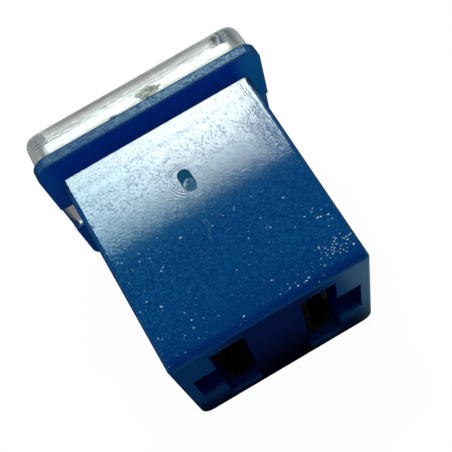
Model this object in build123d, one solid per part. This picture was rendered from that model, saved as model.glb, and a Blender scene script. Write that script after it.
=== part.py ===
from build123d import *

import os
from math import radians, tan

# Mini fuse of the female cartridge type, lying on its broad back face.
#
# The frame: +X runs across the fuse, +Y from the terminal face to the clear cover,
# +Z out of the broad front face. The origin is under the middle of the fuse, on the
# plane that the back face rests on. Lengths are millimetres.
#
# In the names below, x is measured across the fuse from its middle, h along it from
# the terminal face, and d is the depth above the back face.

# ---- housing ----
BODY_WIDTH = 13.3           # across the body where it meets the flange
BODY_DEPTH = 10.6           # between the two broad faces
BODY_HEIGHT = 14.1          # from the terminal face to the flange
SIDE_DRAFT = 1.25           # degrees that each narrow side leans in towards the terminals
FRONT_CORNER_R = 0.35       # the long edges of the front face
BACK_CORNER_R = 0.8         # the long edges of the back face
MOUTH_EDGE_R = 0.26         # the edge round the terminal face

# ---- flange round the top of the body ----
FLANGE_SIDE_REACH = 1.05    # beyond the body at each narrow side
FLANGE_FRONT_REACH = 2.0    # beyond the front face; the back is flush
FLANGE_THICKNESS = 0.78
FLANGE_CORNER_R = 1.1
FLANGE_EDGE_R = 0.12

# ---- two terminal cavities, T-shaped in plan, and the chamber above them ----
WEB_WIDTH = 3.6             # solid web between the cavities
SLOT_WIDTH = 2.25           # the bar of the T, beside the web
ARM_REACH = 1.55            # the stem of the T, towards the narrow side
ARM_DEPTH = 3.7
BROAD_WALL = 1.0            # behind each broad face
CHAMBER_FLOOR_H = 11.2
CHAMBER_SIDE_WALL = 1.0
CHAMBER_CORNER_R = 0.5

# ---- gate mark on the front face ----
GATE_H = 9.85
GATE_LENGTH = 1.5
GATE_WIDTH = 0.85
GATE_SINK = 0.14
STUB_R = 0.34               # what is left of the gate, low in the sink
STUB_DROP = 0.33
STUB_HEIGHT = 0.09

# ---- clear cover with a latch at each end ----
COVER_SETBACK = 0.2         # from the edge of the flange, all round
COVER_HEIGHT = 2.22
COVER_WALL = 0.95
COVER_TOP = 0.85
COVER_CORNER_R = 0.95
COVER_EDGE_R = 0.6
NUB_R = 0.3                 # moulding gate on top of the cover
NUB_HEIGHT = 0.1
NUB_FROM_EDGE = 1.0
LATCH_LENGTH = 2.7          # along the end of the flange
LATCH_THICKNESS = 0.42
LATCH_CLEARANCE = 0.08
LATCH_BAR = 0.34            # bar of the flange that stays outside the latch
LATCH_RELIEF = 0.48         # the bar is cut up from below by this, for the barb
BARB_REACH = 0.14           # under the bar
BARB_HEIGHT = 0.26

# ---- fuse element: one stamping with two rolled terminals and the link ----
STRIP = 0.4                 # sheet thickness
PLATE_CLEARANCE = 0.1       # between each terminal's back plate and the web
TERMINAL_WIDTH = 6.8        # over both rolls
TERMINAL_START_H = 0.5
TERMINAL_TOP_H = 9.2
ROLL_R = 0.87               # outside radius of each roll
LIP_REACH = 1.3             # flat lip beyond the middle of each roll
NECK_WIDTH = 4.2
SHOULDER_REACH = 0.5        # how far each shoulder lies on top of the web
LINK_RISE = 2.0             # from the top of the shoulder to the link
LINK_WIDTH = 0.9
LINK_STRIP = 0.3
LINK_OFFSET = 1.5           # each end of the link from the middle plane
LINK_BEND_R = 0.5

# ---- pellet of low-melting metal, crimped on the link ----
PELLET_R = 0.42
PELLET_LENGTH = 1.3
CRIMP_WALL = 0.22
CRIMP_LENGTH = 0.8
CRIMP_GAP = 0.02
CRIMP_OPEN = 0.3            # the crimp's mouth starts this far above the pellet's axis

# ---- sizes that follow ----
MOUTH_WIDTH = BODY_WIDTH - 2 * BODY_HEIGHT * tan(radians(SIDE_DRAFT))
FLANGE_WIDTH = BODY_WIDTH + 2 * FLANGE_SIDE_REACH
FLANGE_DEPTH = BODY_DEPTH + FLANGE_FRONT_REACH
FLANGE_TOP_H = BODY_HEIGHT + FLANGE_THICKNESS
COVER_TOP_H = FLANGE_TOP_H + COVER_HEIGHT
TOTAL_H = COVER_TOP_H + NUB_HEIGHT
MIDDLE_D = BODY_DEPTH / 2
LATCH_D = FLANGE_DEPTH / 2
SLOT_START_X = WEB_WIDTH / 2
ARM_START_X = SLOT_START_X + SLOT_WIDTH
SHOULDER_H = CHAMBER_FLOOR_H + STRIP / 2
LINK_H = CHAMBER_FLOOR_H + STRIP + LINK_RISE
LATCH_OUTER_X = FLANGE_WIDTH / 2 - LATCH_BAR - LATCH_CLEARANCE
PLATE_X = SLOT_START_X + PLATE_CLEARANCE + STRIP / 2


def plan(h):
    """Plane across the fuse at height h, where a sketch's x and y are x and d."""
    return Plane(origin=(0, h, 0), x_dir=(1, 0, 0), z_dir=(0, -1, 0))


def raised(sketch, h_low, h_high):
    """Solid that a plan sketch makes between two heights along the fuse."""
    return extrude(plan(h_low) * sketch, amount=-(h_high - h_low))


def block(x_range, h_range, d_range):
    """Box between two values of x, h and d."""
    low = (x_range[0], h_range[0], d_range[0])
    size = [r[1] - r[0] for r in (x_range, h_range, d_range)]
    return Pos(*low) * Box(*size, align=(Align.MIN, Align.MIN, Align.MIN))


def outline(width, d_low, d_high, back_r, front_r):
    """Rectangle in plan with one radius at its back corners and one at its front."""
    middle = (d_low + d_high) / 2
    sketch = Pos(0, middle) * Rectangle(width, d_high - d_low)
    corners = sketch.vertices().sort_by(Axis.Y)
    sketch = fillet(corners[:2], back_r)
    corners = sketch.vertices().sort_by(Axis.Y)
    return fillet(corners[-2:], front_r)


def both_ends(part):
    """The part together with its mirror image at the other narrow side."""
    return part + mirror(part, about=Plane.YZ)


def tapered_body():
    """Outside of the body, narrower at the terminal face, with a rounded mouth."""
    half_mouth = MOUTH_WIDTH / 2
    half_top = BODY_WIDTH / 2
    face = Polygon(
        (-half_mouth, 0), (half_mouth, 0), (half_top, BODY_HEIGHT), (-half_top, BODY_HEIGHT), align=None
    )
    body = extrude(face, amount=BODY_DEPTH)
    back = body.faces().sort_by(Axis.Z)[0].edges().filter_by(Axis.X, reverse=True)
    body = fillet(back, BACK_CORNER_R)
    front = body.faces().sort_by(Axis.Z)[-1].edges().filter_by(Axis.X, reverse=True)
    body = fillet(front, FRONT_CORNER_R)
    return fillet(body.faces().sort_by(Axis.Y)[0].edges(), MOUTH_EDGE_R)


def flange():
    """Plate round the top of the body, reaching forward over the front face."""
    sketch = outline(FLANGE_WIDTH, 0, FLANGE_DEPTH, FLANGE_CORNER_R, FLANGE_CORNER_R)
    plate = raised(sketch, BODY_HEIGHT, FLANGE_TOP_H)
    return fillet(plate.faces().sort_by(Axis.Y)[0].edges(), FLANGE_EDGE_R)


def flush_back():
    """Fills the flange's rounded lower edge where its back is flush with the body's."""
    half = BODY_WIDTH / 2 - BACK_CORNER_R - FLANGE_EDGE_R
    return block((-half, half), (BODY_HEIGHT - BROAD_WALL, FLANGE_TOP_H), (0, BROAD_WALL))


def terminal_cavity():
    """T-shaped shaft from the terminal face up into the link chamber."""
    shaft_h = (-1, CHAMBER_FLOOR_H + 0.01)
    slot = block((SLOT_START_X, ARM_START_X), shaft_h, (BROAD_WALL, BODY_DEPTH - BROAD_WALL))
    arm_d = (MIDDLE_D - ARM_DEPTH / 2, MIDDLE_D + ARM_DEPTH / 2)
    return slot + block((ARM_START_X - 0.01, ARM_START_X + ARM_REACH), shaft_h, arm_d)


def link_chamber():
    """Hollow over both cavities, open towards the cover."""
    width = BODY_WIDTH - 2 * CHAMBER_SIDE_WALL
    sketch = outline(width, BROAD_WALL, BODY_DEPTH - BROAD_WALL, CHAMBER_CORNER_R, CHAMBER_CORNER_R)
    return raised(sketch, CHAMBER_FLOOR_H, FLANGE_TOP_H + 1)


def latch_slot():
    """Hole through the end of the flange, and the relief under the bar outside it."""
    half = LATCH_LENGTH / 2 + LATCH_CLEARANCE
    outer_x = FLANGE_WIDTH / 2 - LATCH_BAR
    inner_x = LATCH_OUTER_X - LATCH_THICKNESS - LATCH_CLEARANCE
    hole = block((inner_x, outer_x), (BODY_HEIGHT - 1, FLANGE_TOP_H + 1), (LATCH_D - half, LATCH_D + half))
    relief_h = (BODY_HEIGHT - 1, BODY_HEIGHT + LATCH_RELIEF)
    return hole + block((outer_x - 0.01, outer_x + 1), relief_h, (LATCH_D - half, LATCH_D + half))


def gate_sink():
    """Shallow oval pocket in the front face with the broken-off gate in it."""
    oval = SlotOverall(GATE_LENGTH, GATE_WIDTH, rotation=90)
    pocket = extrude(Pos(0, GATE_H, BODY_DEPTH - GATE_SINK) * oval, amount=1)
    stub = Pos(0, GATE_H - STUB_DROP, BODY_DEPTH - GATE_SINK) * Cylinder(
        STUB_R, STUB_HEIGHT, align=(Align.CENTER, Align.CENTER, Align.MIN)
    )
    return pocket - stub


def housing():
    """Blue moulding: body, flange, terminal cavities, link chamber and latch slots."""
    part = tapered_body() + flange() + flush_back()
    part -= both_ends(terminal_cavity())
    part -= link_chamber()
    part -= both_ends(latch_slot())
    return part - gate_sink()


def cover_shell():
    """Hollow clear box that stands on the flange."""
    width = FLANGE_WIDTH - 2 * COVER_SETBACK
    front_d = FLANGE_DEPTH - COVER_SETBACK
    sketch = outline(width, COVER_SETBACK, front_d, COVER_CORNER_R, COVER_CORNER_R)
    shell = raised(sketch, FLANGE_TOP_H, COVER_TOP_H)
    shell = fillet(shell.faces().sort_by(Axis.Y)[-1].edges(), COVER_EDGE_R)
    inner_r = max(COVER_CORNER_R - COVER_WALL, 0) + 0.3
    hollow = outline(
        width - 2 * COVER_WALL, COVER_SETBACK + COVER_WALL, front_d - COVER_WALL, inner_r, inner_r
    )
    return shell - raised(hollow, FLANGE_TOP_H - 1, COVER_TOP_H - COVER_TOP)


def cover_latch():
    """Leg that drops through the flange, with a barb that hooks under the bar."""
    half = LATCH_LENGTH / 2
    d_range = (LATCH_D - half, LATCH_D + half)
    foot_h = BODY_HEIGHT + LATCH_CLEARANCE
    leg = block((LATCH_OUTER_X - LATCH_THICKNESS, LATCH_OUTER_X), (foot_h, FLANGE_TOP_H + 0.01), d_range)
    barb_x = (LATCH_OUTER_X - 0.01, LATCH_OUTER_X + LATCH_CLEARANCE + BARB_REACH)
    return leg + block(barb_x, (foot_h, foot_h + BARB_HEIGHT), d_range)


def clear_cover():
    """Cover with its two latches and the nub that its moulding gate left on top."""
    part = cover_shell() + both_ends(cover_latch())
    nub_x = FLANGE_WIDTH / 2 - COVER_SETBACK - NUB_FROM_EDGE
    nub_d = FLANGE_DEPTH - COVER_SETBACK - NUB_FROM_EDGE
    nub = raised(Pos(nub_x, nub_d) * Circle(NUB_R), COVER_TOP_H - 0.01, TOTAL_H)
    return part + nub


def rolled_terminal():
    """Receptacle for a flat tab: a back plate whose two edges are rolled over."""
    roll = ROLL_R - STRIP / 2
    near_x = PLATE_X
    far_x = near_x + 2 * roll
    reach = TERMINAL_WIDTH / 2 - STRIP / 2
    lip = reach - roll - LIP_REACH
    path = FilletPolyline(
        (far_x, MIDDLE_D - lip),
        (far_x, MIDDLE_D - reach),
        (near_x, MIDDLE_D - reach),
        (near_x, MIDDLE_D + reach),
        (far_x, MIDDLE_D + reach),
        (far_x, MIDDLE_D + lip),
        radius=0.98 * roll,
    )
    return raised(trace(path, STRIP), TERMINAL_START_H, TERMINAL_TOP_H)


def neck():
    """Strip up the side of the web, over its edge, and up again to the link."""
    riser_x = SLOT_START_X - SHOULDER_REACH
    path = Polyline(
        (PLATE_X, TERMINAL_TOP_H - 0.01),
        (PLATE_X, SHOULDER_H),
        (riser_x, SHOULDER_H),
        (riser_x, LINK_H),
    )
    strip = extrude(trace(path, STRIP), amount=NECK_WIDTH)
    return Pos(0, 0, MIDDLE_D - NECK_WIDTH / 2) * strip


def link():
    """Thin Z-shaped strip between the two necks."""
    end_x = SLOT_START_X - SHOULDER_REACH
    path = FilletPolyline(
        (end_x, MIDDLE_D - LINK_OFFSET),
        (0, MIDDLE_D - LINK_OFFSET),
        (0, MIDDLE_D + LINK_OFFSET),
        (-end_x, MIDDLE_D + LINK_OFFSET),
        radius=LINK_BEND_R,
    )
    return raised(trace(path, LINK_WIDTH), LINK_H - LINK_STRIP, LINK_H)


def pellet_axis():
    """Middle of the pellet, lying on the link along Z."""
    return Pos(0, LINK_H + PELLET_R + CRIMP_GAP, MIDDLE_D)


def crimp():
    """Two claws folded up round the pellet, open towards the cover."""
    bore_r = PELLET_R + CRIMP_GAP
    wall_r = bore_r + CRIMP_WALL
    ring = Cylinder(wall_r, CRIMP_LENGTH) - Cylinder(bore_r, CRIMP_LENGTH + 1)
    mouth = Pos(0, CRIMP_OPEN + wall_r, 0) * Box(2 * wall_r, 2 * wall_r, CRIMP_LENGTH + 1)
    return pellet_axis() * (ring - mouth)


def fuse_element():
    """The copper stamping: terminals, necks, link and crimp in one piece."""
    sides = both_ends(rolled_terminal() + neck())
    return sides + link() + crimp()


def tin_pellet():
    """Short bar of low-melting metal held in the crimp."""
    bar = Cylinder(PELLET_R, PELLET_LENGTH)
    bar = chamfer(bar.edges(), PELLET_R / 3)
    return pellet_axis() * bar


def centred(part):
    """Moves a piece so that the origin is under the middle of the whole fuse."""
    return Pos(0, -TOTAL_H / 2, 0) * part


os.makedirs("parts", exist_ok=True)
for name, make in {
    "housing": housing,
    "clear_cover": clear_cover,
    "fuse_element": fuse_element,
    "tin_pellet": tin_pellet,
}.items():
    export_step(centred(make()), f"parts/{name}.step")
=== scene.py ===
# %% [markdown]
# # Mini cartridge fuse
# A small plug-in fuse: a deep blue moulded housing with two sockets in its end face, a clear
# cover latched onto its flange, and one copper-alloy stamping inside. The solids come from the
# CAD frame, already in place, so every position below is read from their boxes. Lengths are
# metres in Blender and millimetres in the sums: MM turns the one into the other.

import bmesh
import bpy
import numpy as np
from mathutils import Matrix, Vector


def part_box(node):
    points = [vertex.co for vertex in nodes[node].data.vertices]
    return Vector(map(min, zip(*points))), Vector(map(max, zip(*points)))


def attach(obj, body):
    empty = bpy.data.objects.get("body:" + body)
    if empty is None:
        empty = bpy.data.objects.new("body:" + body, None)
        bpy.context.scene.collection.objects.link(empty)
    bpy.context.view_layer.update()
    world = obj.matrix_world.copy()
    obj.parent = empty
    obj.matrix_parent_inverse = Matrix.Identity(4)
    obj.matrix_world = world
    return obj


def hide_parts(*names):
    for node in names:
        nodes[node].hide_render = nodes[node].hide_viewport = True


MM = 0.001
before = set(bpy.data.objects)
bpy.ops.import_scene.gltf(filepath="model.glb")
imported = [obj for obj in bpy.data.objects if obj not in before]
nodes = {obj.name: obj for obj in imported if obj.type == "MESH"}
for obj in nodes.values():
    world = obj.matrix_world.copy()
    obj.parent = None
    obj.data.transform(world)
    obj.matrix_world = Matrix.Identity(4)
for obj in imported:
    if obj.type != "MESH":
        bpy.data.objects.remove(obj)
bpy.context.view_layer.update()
scene = bpy.context.scene
print("nodes", sorted(nodes))

# %% [markdown]
# Each CAD solid tells its own lowest and highest corner, so the planes that matter, such as the
# front face and the flange's underside, are found from those corners and from a few thicknesses.
# Nothing is typed in twice.


# %% Sizes
def corners(node):
    """Lowest and highest corner of a CAD node as two arrays in millimetres."""
    low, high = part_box(node)
    return np.array(low) / MM, np.array(high) / MM


FLANGE_THICK = 0.78
FLANGE_FRONT_REACH = 2.0
FLANGE_SIDE_REACH = 1.05

shell_low, shell_high = corners("housing")
cover_low, cover_high = corners("clear_cover")
strip_low, strip_high = corners("fuse_element")
bar_low, bar_high = corners("tin_pellet")
MOUTH_Y = shell_low[1]
FLANGE_TOP_Y = shell_high[1]
FLANGE_UNDER_Y = FLANGE_TOP_Y - FLANGE_THICK
FLANGE_FRONT_Z = shell_high[2]
FRONT_Z = FLANGE_FRONT_Z - FLANGE_FRONT_REACH
BODY_HALF_X = shell_high[0] - FLANGE_SIDE_REACH
print("housing", shell_low.round(2), shell_high.round(2))
print("cover", cover_low.round(2), cover_high.round(2))

# %% [markdown]
# ## The camera
# The fuse lies on its broad back and is seen from above its terminal end, turned in the frame.
# A camera can be aimed with three angles, but two directions are easier to read: the one it looks
# along, and the one its right-hand side points to. The third follows from them.
#
# Cycles follows a ray through only four mirror-like bounces unless it is told otherwise. Inside
# clear plastic light is thrown back and forth between the walls more often, and each time counts
# as a glossy bounce, so without more of them the cover would have black patches.

# %% Camera
STANDS_AT = Vector((-2.67, -23.17, 52.72)) * MM
LOOKS_ALONG = Vector((0.0409, 0.4433, -0.8954))
RIGHT_SIDE = Vector((0.8640, -0.4658, -0.1912))
FOCAL_MM = 65.67
SENSOR_MM = 36
SHIFT = (0.0496, 0.0135)
GLOSSY_BOUNCES = 12

look = LOOKS_ALONG.normalized()
right = (RIGHT_SIDE - look * RIGHT_SIDE.dot(look)).normalized()
up = right.cross(look)
camera = bpy.data.objects.new("camera", bpy.data.cameras.new("camera"))
scene.collection.objects.link(camera)
camera.matrix_world = Matrix.Translation(STANDS_AT) @ Matrix((right, up, -look)).transposed().to_4x4()
camera.data.sensor_width = SENSOR_MM
camera.data.lens = FOCAL_MM
camera.data.shift_x, camera.data.shift_y = SHIFT
camera.data.clip_start = 0.001
camera.data.clip_end = 10
scene.camera = camera
scene.view_settings.view_transform = "Standard"
scene.cycles.glossy_bounces = GLOSSY_BOUNCES
print("camera looks along", tuple(round(v, 3) for v in look))

# %% [markdown]
# ## Shader helpers
# A material is a tree of small nodes. It could be drawn by hand in the Shader Editor. In a script
# each node takes several lines, so a few helpers stand for the ones used most: sums, products,
# smooth steps and mixes. With them a mask reads like a sentence.


# %% Nodes, sums and products
def add_node(tree, kind, links=None, **settings):
    """One node in a tree. settings are its properties, links gives its inputs a value or a socket."""
    node = tree.nodes.new(kind)
    for name, value in settings.items():
        setattr(node, name, value)
    for name, value in (links or {}).items():
        if isinstance(value, bpy.types.NodeSocket):
            tree.links.new(value, node.inputs[name])
        else:
            node.inputs[name].default_value = value
    return node


def math(tree, operation, a, b=0.0, clamp=False):
    """Result of a Math node on two values or sockets."""
    node = add_node(tree, "ShaderNodeMath", {0: a, 1: b}, operation=operation, use_clamp=clamp)
    return node.outputs[0]


def product(tree, *values):
    """All the values multiplied."""
    result = values[0]
    for value in values[1:]:
        result = math(tree, "MULTIPLY", result, value)
    return result


def total(tree, *values):
    """All the values added."""
    result = values[0]
    for value in values[1:]:
        result = math(tree, "ADD", result, value)
    return result


print("made", [helper.__name__ for helper in (add_node, math, product, total)])

# %% [markdown]
# Most masks begin and end softly at a place. A Map Range node in its smoothstep mode does that in
# one node: it rises, or falls, between two values. A rise times a fall is a band.


# %% Steps and bands
def between(tree, value, low, high, to_low=0.0, to_high=1.0):
    """Smooth step: to_low where value is under low, to_high where it is over high."""
    links = {"Value": value, "From Min": low, "From Max": high, "To Min": to_low, "To Max": to_high}
    return add_node(tree, "ShaderNodeMapRange", links, interpolation_type="SMOOTHSTEP").outputs["Result"]


def falling(tree, value, low, high):
    """Smooth step downwards: 1 where value is under low, 0 where it is over high."""
    return between(tree, value, low, high, 1.0, 0.0)


def band(tree, value, low, full, still_full, high):
    """Smooth band: 0 under low, 1 from full to still_full, 0 again over high."""
    return product(tree, between(tree, value, low, full), falling(tree, value, still_full, high))


print("made", [helper.__name__ for helper in (between, falling, band)])

# %% [markdown]
# The Mix node has many sockets with the same names, one set for each kind of value. They are told
# apart by number, and that is best hidden in a helper.


# %% Mixes, axes and empty materials
def mix_number(tree, factor, a, b):
    """Number a where factor is 0 and b where it is 1."""
    return add_node(tree, "ShaderNodeMix", {0: factor, 2: a, 3: b}, data_type="FLOAT").outputs[0]


def mix_colour(tree, factor, a, b):
    """Colour a where factor is 0 and b where it is 1."""
    return add_node(tree, "ShaderNodeMix", {0: factor, 6: a, 7: b}, data_type="RGBA").outputs[2]


def axes_of(tree, socket):
    """The x, y and z of a vector."""
    parts = add_node(tree, "ShaderNodeSeparateXYZ", {0: socket}).outputs
    return parts["X"], parts["Y"], parts["Z"]


def coordinate(tree, kind):
    """One output of a Texture Coordinate node."""
    return add_node(tree, "ShaderNodeTexCoord").outputs[kind]


def new_material(name):
    """Empty material, its node tree and the socket that its shader goes into."""
    material = bpy.data.materials.new(name)
    material.use_nodes = True
    tree = material.node_tree
    tree.nodes.clear()
    return material, tree, tree.nodes.new("ShaderNodeOutputMaterial").inputs["Surface"]


print("made", [helper.__name__ for helper in (mix_number, mix_colour, axes_of, coordinate, new_material)])

# %% [markdown]
# ## Floor
# The ground is a sheet of white paper. A lit white plane would need so much light that the blue
# plastic washed out. So the paper glows white to the camera and to what is seen through the clear
# cover, with a little plain diffuse in it to keep the fuse's shadow, and to every other ray it is
# dim. The Light Path node tells the rays apart.
#
# The floor is one flat face, big enough that its edge is never seen.


# %% Floor sheet
def flat_sheet(name, sheet_corners):
    """Object with a single flat face of four corners, given in metres."""
    mesh = bpy.data.meshes.new(name)
    mesh.from_pydata(sheet_corners, [], [(0, 1, 2, 3)])
    sheet = bpy.data.objects.new(name, mesh)
    scene.collection.objects.link(sheet)
    print(name, [tuple(round(v, 3) for v in corner) for corner in sheet_corners])
    return sheet


FLOOR_HALF = 600 * MM
signs = ((-1, -1), (1, -1), (1, 1), (-1, 1))
floor = flat_sheet("floor", [(a * FLOOR_HALF, b * FLOOR_HALF, 0) for a, b in signs])

# %% [markdown]
# Beside the right-hand end of the terminal face lies a pale card. It could be a second object, but
# that would show in other views. So it is a soft patch of the paper that only glossy rays meet: the
# right-hand half of the terminal face mirrors it and stands out from the left one.

# %% White paper
FLOOR_SHADOW = 0.06
FLOOR_WHITE = 1.02
PAPER_WHITE = (0.95, 0.95, 0.95, 1)
FLOOR_GREY = (0.30, 0.30, 0.30, 1)
FLOOR_MIRRORED = (0.008, 0.008, 0.008, 1)
FLOOR_CARD = (0.30, 0.52, 0.56, 1)
FLOOR_CARD_X = (5.0, 7.6)
FLOOR_CARD_Y = (-8.6, -7.0)

paper, tree, surface = new_material("white_paper")
ray = add_node(tree, "ShaderNodeLightPath").outputs
seen = math(tree, "ADD", ray["Is Camera Ray"], ray["Is Transmission Ray"], clamp=True)
sheet_x, sheet_y, _ = axes_of(tree, coordinate(tree, "Object"))
beside = between(tree, sheet_x, FLOOR_CARD_X[0] * MM, FLOOR_CARD_X[1] * MM)
before = falling(tree, sheet_y, FLOOR_CARD_Y[0] * MM, FLOOR_CARD_Y[1] * MM)
reflected = mix_colour(tree, product(tree, beside, before), FLOOR_MIRRORED, FLOOR_CARD)
grey = mix_colour(tree, ray["Is Glossy Ray"], FLOOR_GREY, reflected)
matt = add_node(tree, "ShaderNodeBsdfDiffuse", {"Color": PAPER_WHITE})
glow = add_node(tree, "ShaderNodeEmission", {"Color": (1, 1, 1, 1), "Strength": FLOOR_WHITE})
white = add_node(tree, "ShaderNodeMixShader", {0: FLOOR_SHADOW, 1: glow.outputs[0], 2: matt.outputs[0]})
dim = add_node(tree, "ShaderNodeBsdfDiffuse", {"Color": grey})
both = add_node(tree, "ShaderNodeMixShader", {0: seen, 1: dim.outputs[0], 2: white.outputs[0]})
tree.links.new(both.outputs[0], surface)
floor.data.materials.append(paper)
print("paper", len(tree.nodes), "nodes")

# %% [markdown]
# ## Sky
# The sky fills the shadows. It is brighter overhead and behind the fuse than on the camera's side,
# so that the sockets, which open towards the camera, stay dark. What the plastic mirrors of it is
# a soft band low behind the fuse. To those rays the sky has less red, as light from a north window
# has, and that makes a grazing sheen on blue plastic look cool. Rays that have been through the
# clear cover see it neutral, and the camera sees plain white.

# %% Sky
SKY_FILL = 0.58
SKY_MIRRORED = 0.40
SKY_DARKEST = 0.006
SKY_TONE = (0.35, 1.0, 1.1, 1)
WHITE = (1, 1, 1, 1)

world = bpy.data.worlds.new("studio")
scene.world = world
world.use_nodes = True
tree = world.node_tree
tree.nodes.clear()
ray = add_node(tree, "ShaderNodeLightPath").outputs
_, backwards, rise = axes_of(tree, coordinate(tree, "Generated"))
low_behind = product(tree, between(tree, backwards, -0.1, 0.6), falling(tree, rise, 0.10, 0.62))
reflected = total(tree, product(tree, low_behind, SKY_MIRRORED), SKY_DARKEST)
overhead = between(tree, rise, -0.1, 0.9, 0.25 * SKY_FILL, 1.3 * SKY_FILL)
filled = product(tree, overhead, between(tree, backwards, -0.75, 0.05, 0.32, 1.0))
shown = math(tree, "ADD", ray["Is Camera Ray"], ray["Is Transmission Ray"], clamp=True)
strength = mix_number(tree, ray["Is Glossy Ray"], filled, reflected)
strength = mix_number(tree, shown, strength, 1.0)
outside = math(tree, "SUBTRACT", 1.0, ray["Transmission Depth"], clamp=True)
tone = mix_colour(tree, product(tree, ray["Is Glossy Ray"], outside), WHITE, SKY_TONE)
sky = add_node(tree, "ShaderNodeBackground", {"Color": tone, "Strength": strength})
tree.links.new(sky.outputs[0], tree.nodes.new("ShaderNodeOutputWorld").inputs["Surface"])
print("sky", len(tree.nodes), "nodes, fill", SKY_FILL)

# %% [markdown]
# ## Softbox
# The big highlight on the front face is the lamp's own image in it, so the lamp's brightness
# across its width decides how the highlight fades. An area lamp is equally bright all over, so the
# lamp is a glowing panel with a ramp on it. It faces down, 250 mm over the face. A point (x, y) of
# the face shows the panel at image + (point - image) * grow, where image is the camera's mirror
# image in the face. With that, each brightness is written for a height on the face.

# %% Softbox, place
PANEL_RISE = 250
PANEL_X = (-13.0, 15.0)
PANEL_H = (6.8, 16.6)

image = np.array([STANDS_AT.x, STANDS_AT.y, 2 * FRONT_Z * MM - STANDS_AT.z]) / MM
grow = (FRONT_Z + PANEL_RISE - image[2]) / (FRONT_Z - image[2])


def on_panel(x, h):
    """Point of the panel that the face shows at x and at height h over the mouth, in metres."""
    return (
        (image[0] + (x - image[0]) * grow) * MM,
        (image[1] + (h + MOUTH_Y - image[1]) * grow) * MM,
        (FRONT_Z + PANEL_RISE) * MM,
    )


left_x, right_x = PANEL_X
low_h, high_h = PANEL_H
places = ((left_x, low_h), (left_x, high_h), (right_x, high_h), (right_x, low_h))
panel = flat_sheet("softbox", [on_panel(x, h) for x, h in places])
panel.visible_camera = False

# %% [markdown]
# The lamp is brightest where the face is nearest to the flange and fades towards the terminals.
# The panel is dark over the heights from 12.7 to 13.3. There the flange starts to hide it, and the
# card of a later step takes over. Fading one out while the other fades in leaves no seam. Higher up
# the panel shines again, on the flange and the cover.

# %% Softbox, brightness
PANEL_RADIANCE = 28.0
RED_LESS = 0.08
LEVELS = (  # height on the face, brightness there
    (low_h, 0.0),
    (7.5, 0.018),
    (8.1, 0.026),
    (8.6, 0.052),
    (9.2, 0.150),
    (10.0, 0.63),
    (11.0, 0.90),
    (11.9, 1.13),
    (12.72, 0.0),
    (13.3, 0.0),
    (13.6, 1.12),
    (14.7, 1.12),
    (15.0, 0.16),
    (high_h, 0.07),
)

cloth, tree, surface = new_material("softbox_cloth")
panel_x, panel_y, _ = axes_of(tree, coordinate(tree, "Object"))
up_panel = {"Value": panel_y, "From Min": on_panel(0, low_h)[1], "From Max": on_panel(0, high_h)[1]}
way_up = add_node(tree, "ShaderNodeMapRange", up_panel).outputs["Result"]
ramp = add_node(tree, "ShaderNodeValToRGB", {"Fac": way_up})
stops = ramp.color_ramp.elements
stops[0].position, stops[1].position = 0.0, 1.0
inner_stops = [stops.new((h - low_h) / (high_h - low_h)) for h, _ in LEVELS[1:-1]]
for stop, (h, level) in zip([stops[0], *inner_stops, stops[-1]], LEVELS):
    stop.color = (max(0.95 * level - RED_LESS, 0), level, 0.96 * level, 1)
print("softbox ramp", len(stops), "stops")

# %% [markdown]
# A real lamp hangs a little to one side, so the highlight isn't even. It is cooler on the left,
# dimmer at its upper left, and ends sooner at its lower right. Soft steps across the panel and up
# it, multiplied, dim it in just those corners.

# %% Softbox, sides
LEFT_DIM = 0.34
RIGHT_DIM = 0.58
LEFT_TINT = (0.84, 1.0, 1.06)

left_half = falling(tree, panel_x, on_panel(-6, 0)[0], on_panel(1, 0)[0])
upper = between(tree, panel_y, on_panel(0, 10.2)[1], on_panel(0, 11.6)[1])
right_half = between(tree, panel_x, on_panel(-3, 0)[0], on_panel(5, 0)[0], 0.0, RIGHT_DIM)
lower = falling(tree, panel_y, on_panel(0, 8.8)[1], on_panel(0, 10.2)[1])
dimmed = math(tree, "SUBTRACT", 1.0, product(tree, left_half, upper, LEFT_DIM))
dimmed = math(tree, "SUBTRACT", dimmed, product(tree, right_half, lower))
cool_ramp = {0: ramp.outputs["Color"], 1: LEFT_TINT}
cooler = add_node(tree, "ShaderNodeVectorMath", cool_ramp, operation="MULTIPLY").outputs[0]
colour = mix_colour(tree, left_half, ramp.outputs["Color"], cooler)
strength = product(tree, dimmed, PANEL_RADIANCE)
light = add_node(tree, "ShaderNodeEmission", {"Color": colour, "Strength": strength})
tree.links.new(light.outputs[0], surface)
panel.data.materials.append(cloth)
print("softbox cloth", len(tree.nodes), "nodes")

# %% [markdown]
# ## Card under the flange
# The flange overhangs the face and hides the panel from the strip of face right below it. In a
# studio such a strip is lit with a small card held close. Here it is a narrow area lamp that leans
# over the strip, square to the rays that the strip mirrors to the camera. It would be a bright bar
# in other views, so only glossy rays see it, and a small spread, like a grid in front of it, keeps
# its light to that direction.

# %% Card, place
CARD_LOW_H = 11.5
CARD_CLEAR = 0.03
CARD_PAST = 0.4

shade_top = np.array([0, FLANGE_UNDER_Y, FRONT_Z])
shade_low = np.array([0, CARD_LOW_H + MOUTH_Y, FRONT_Z])
card_z = (shade_top - image) * np.array([0, 1, 1])
card_z /= np.linalg.norm(card_z)
card_y = shade_top - shade_low
card_y -= card_y.dot(card_z) * card_z
card_height = np.linalg.norm(card_y)
card_y /= card_height
card_x = np.cross(card_y, card_z)
card_middle = shade_top - card_y * card_height / 2 - CARD_CLEAR * card_z

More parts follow.
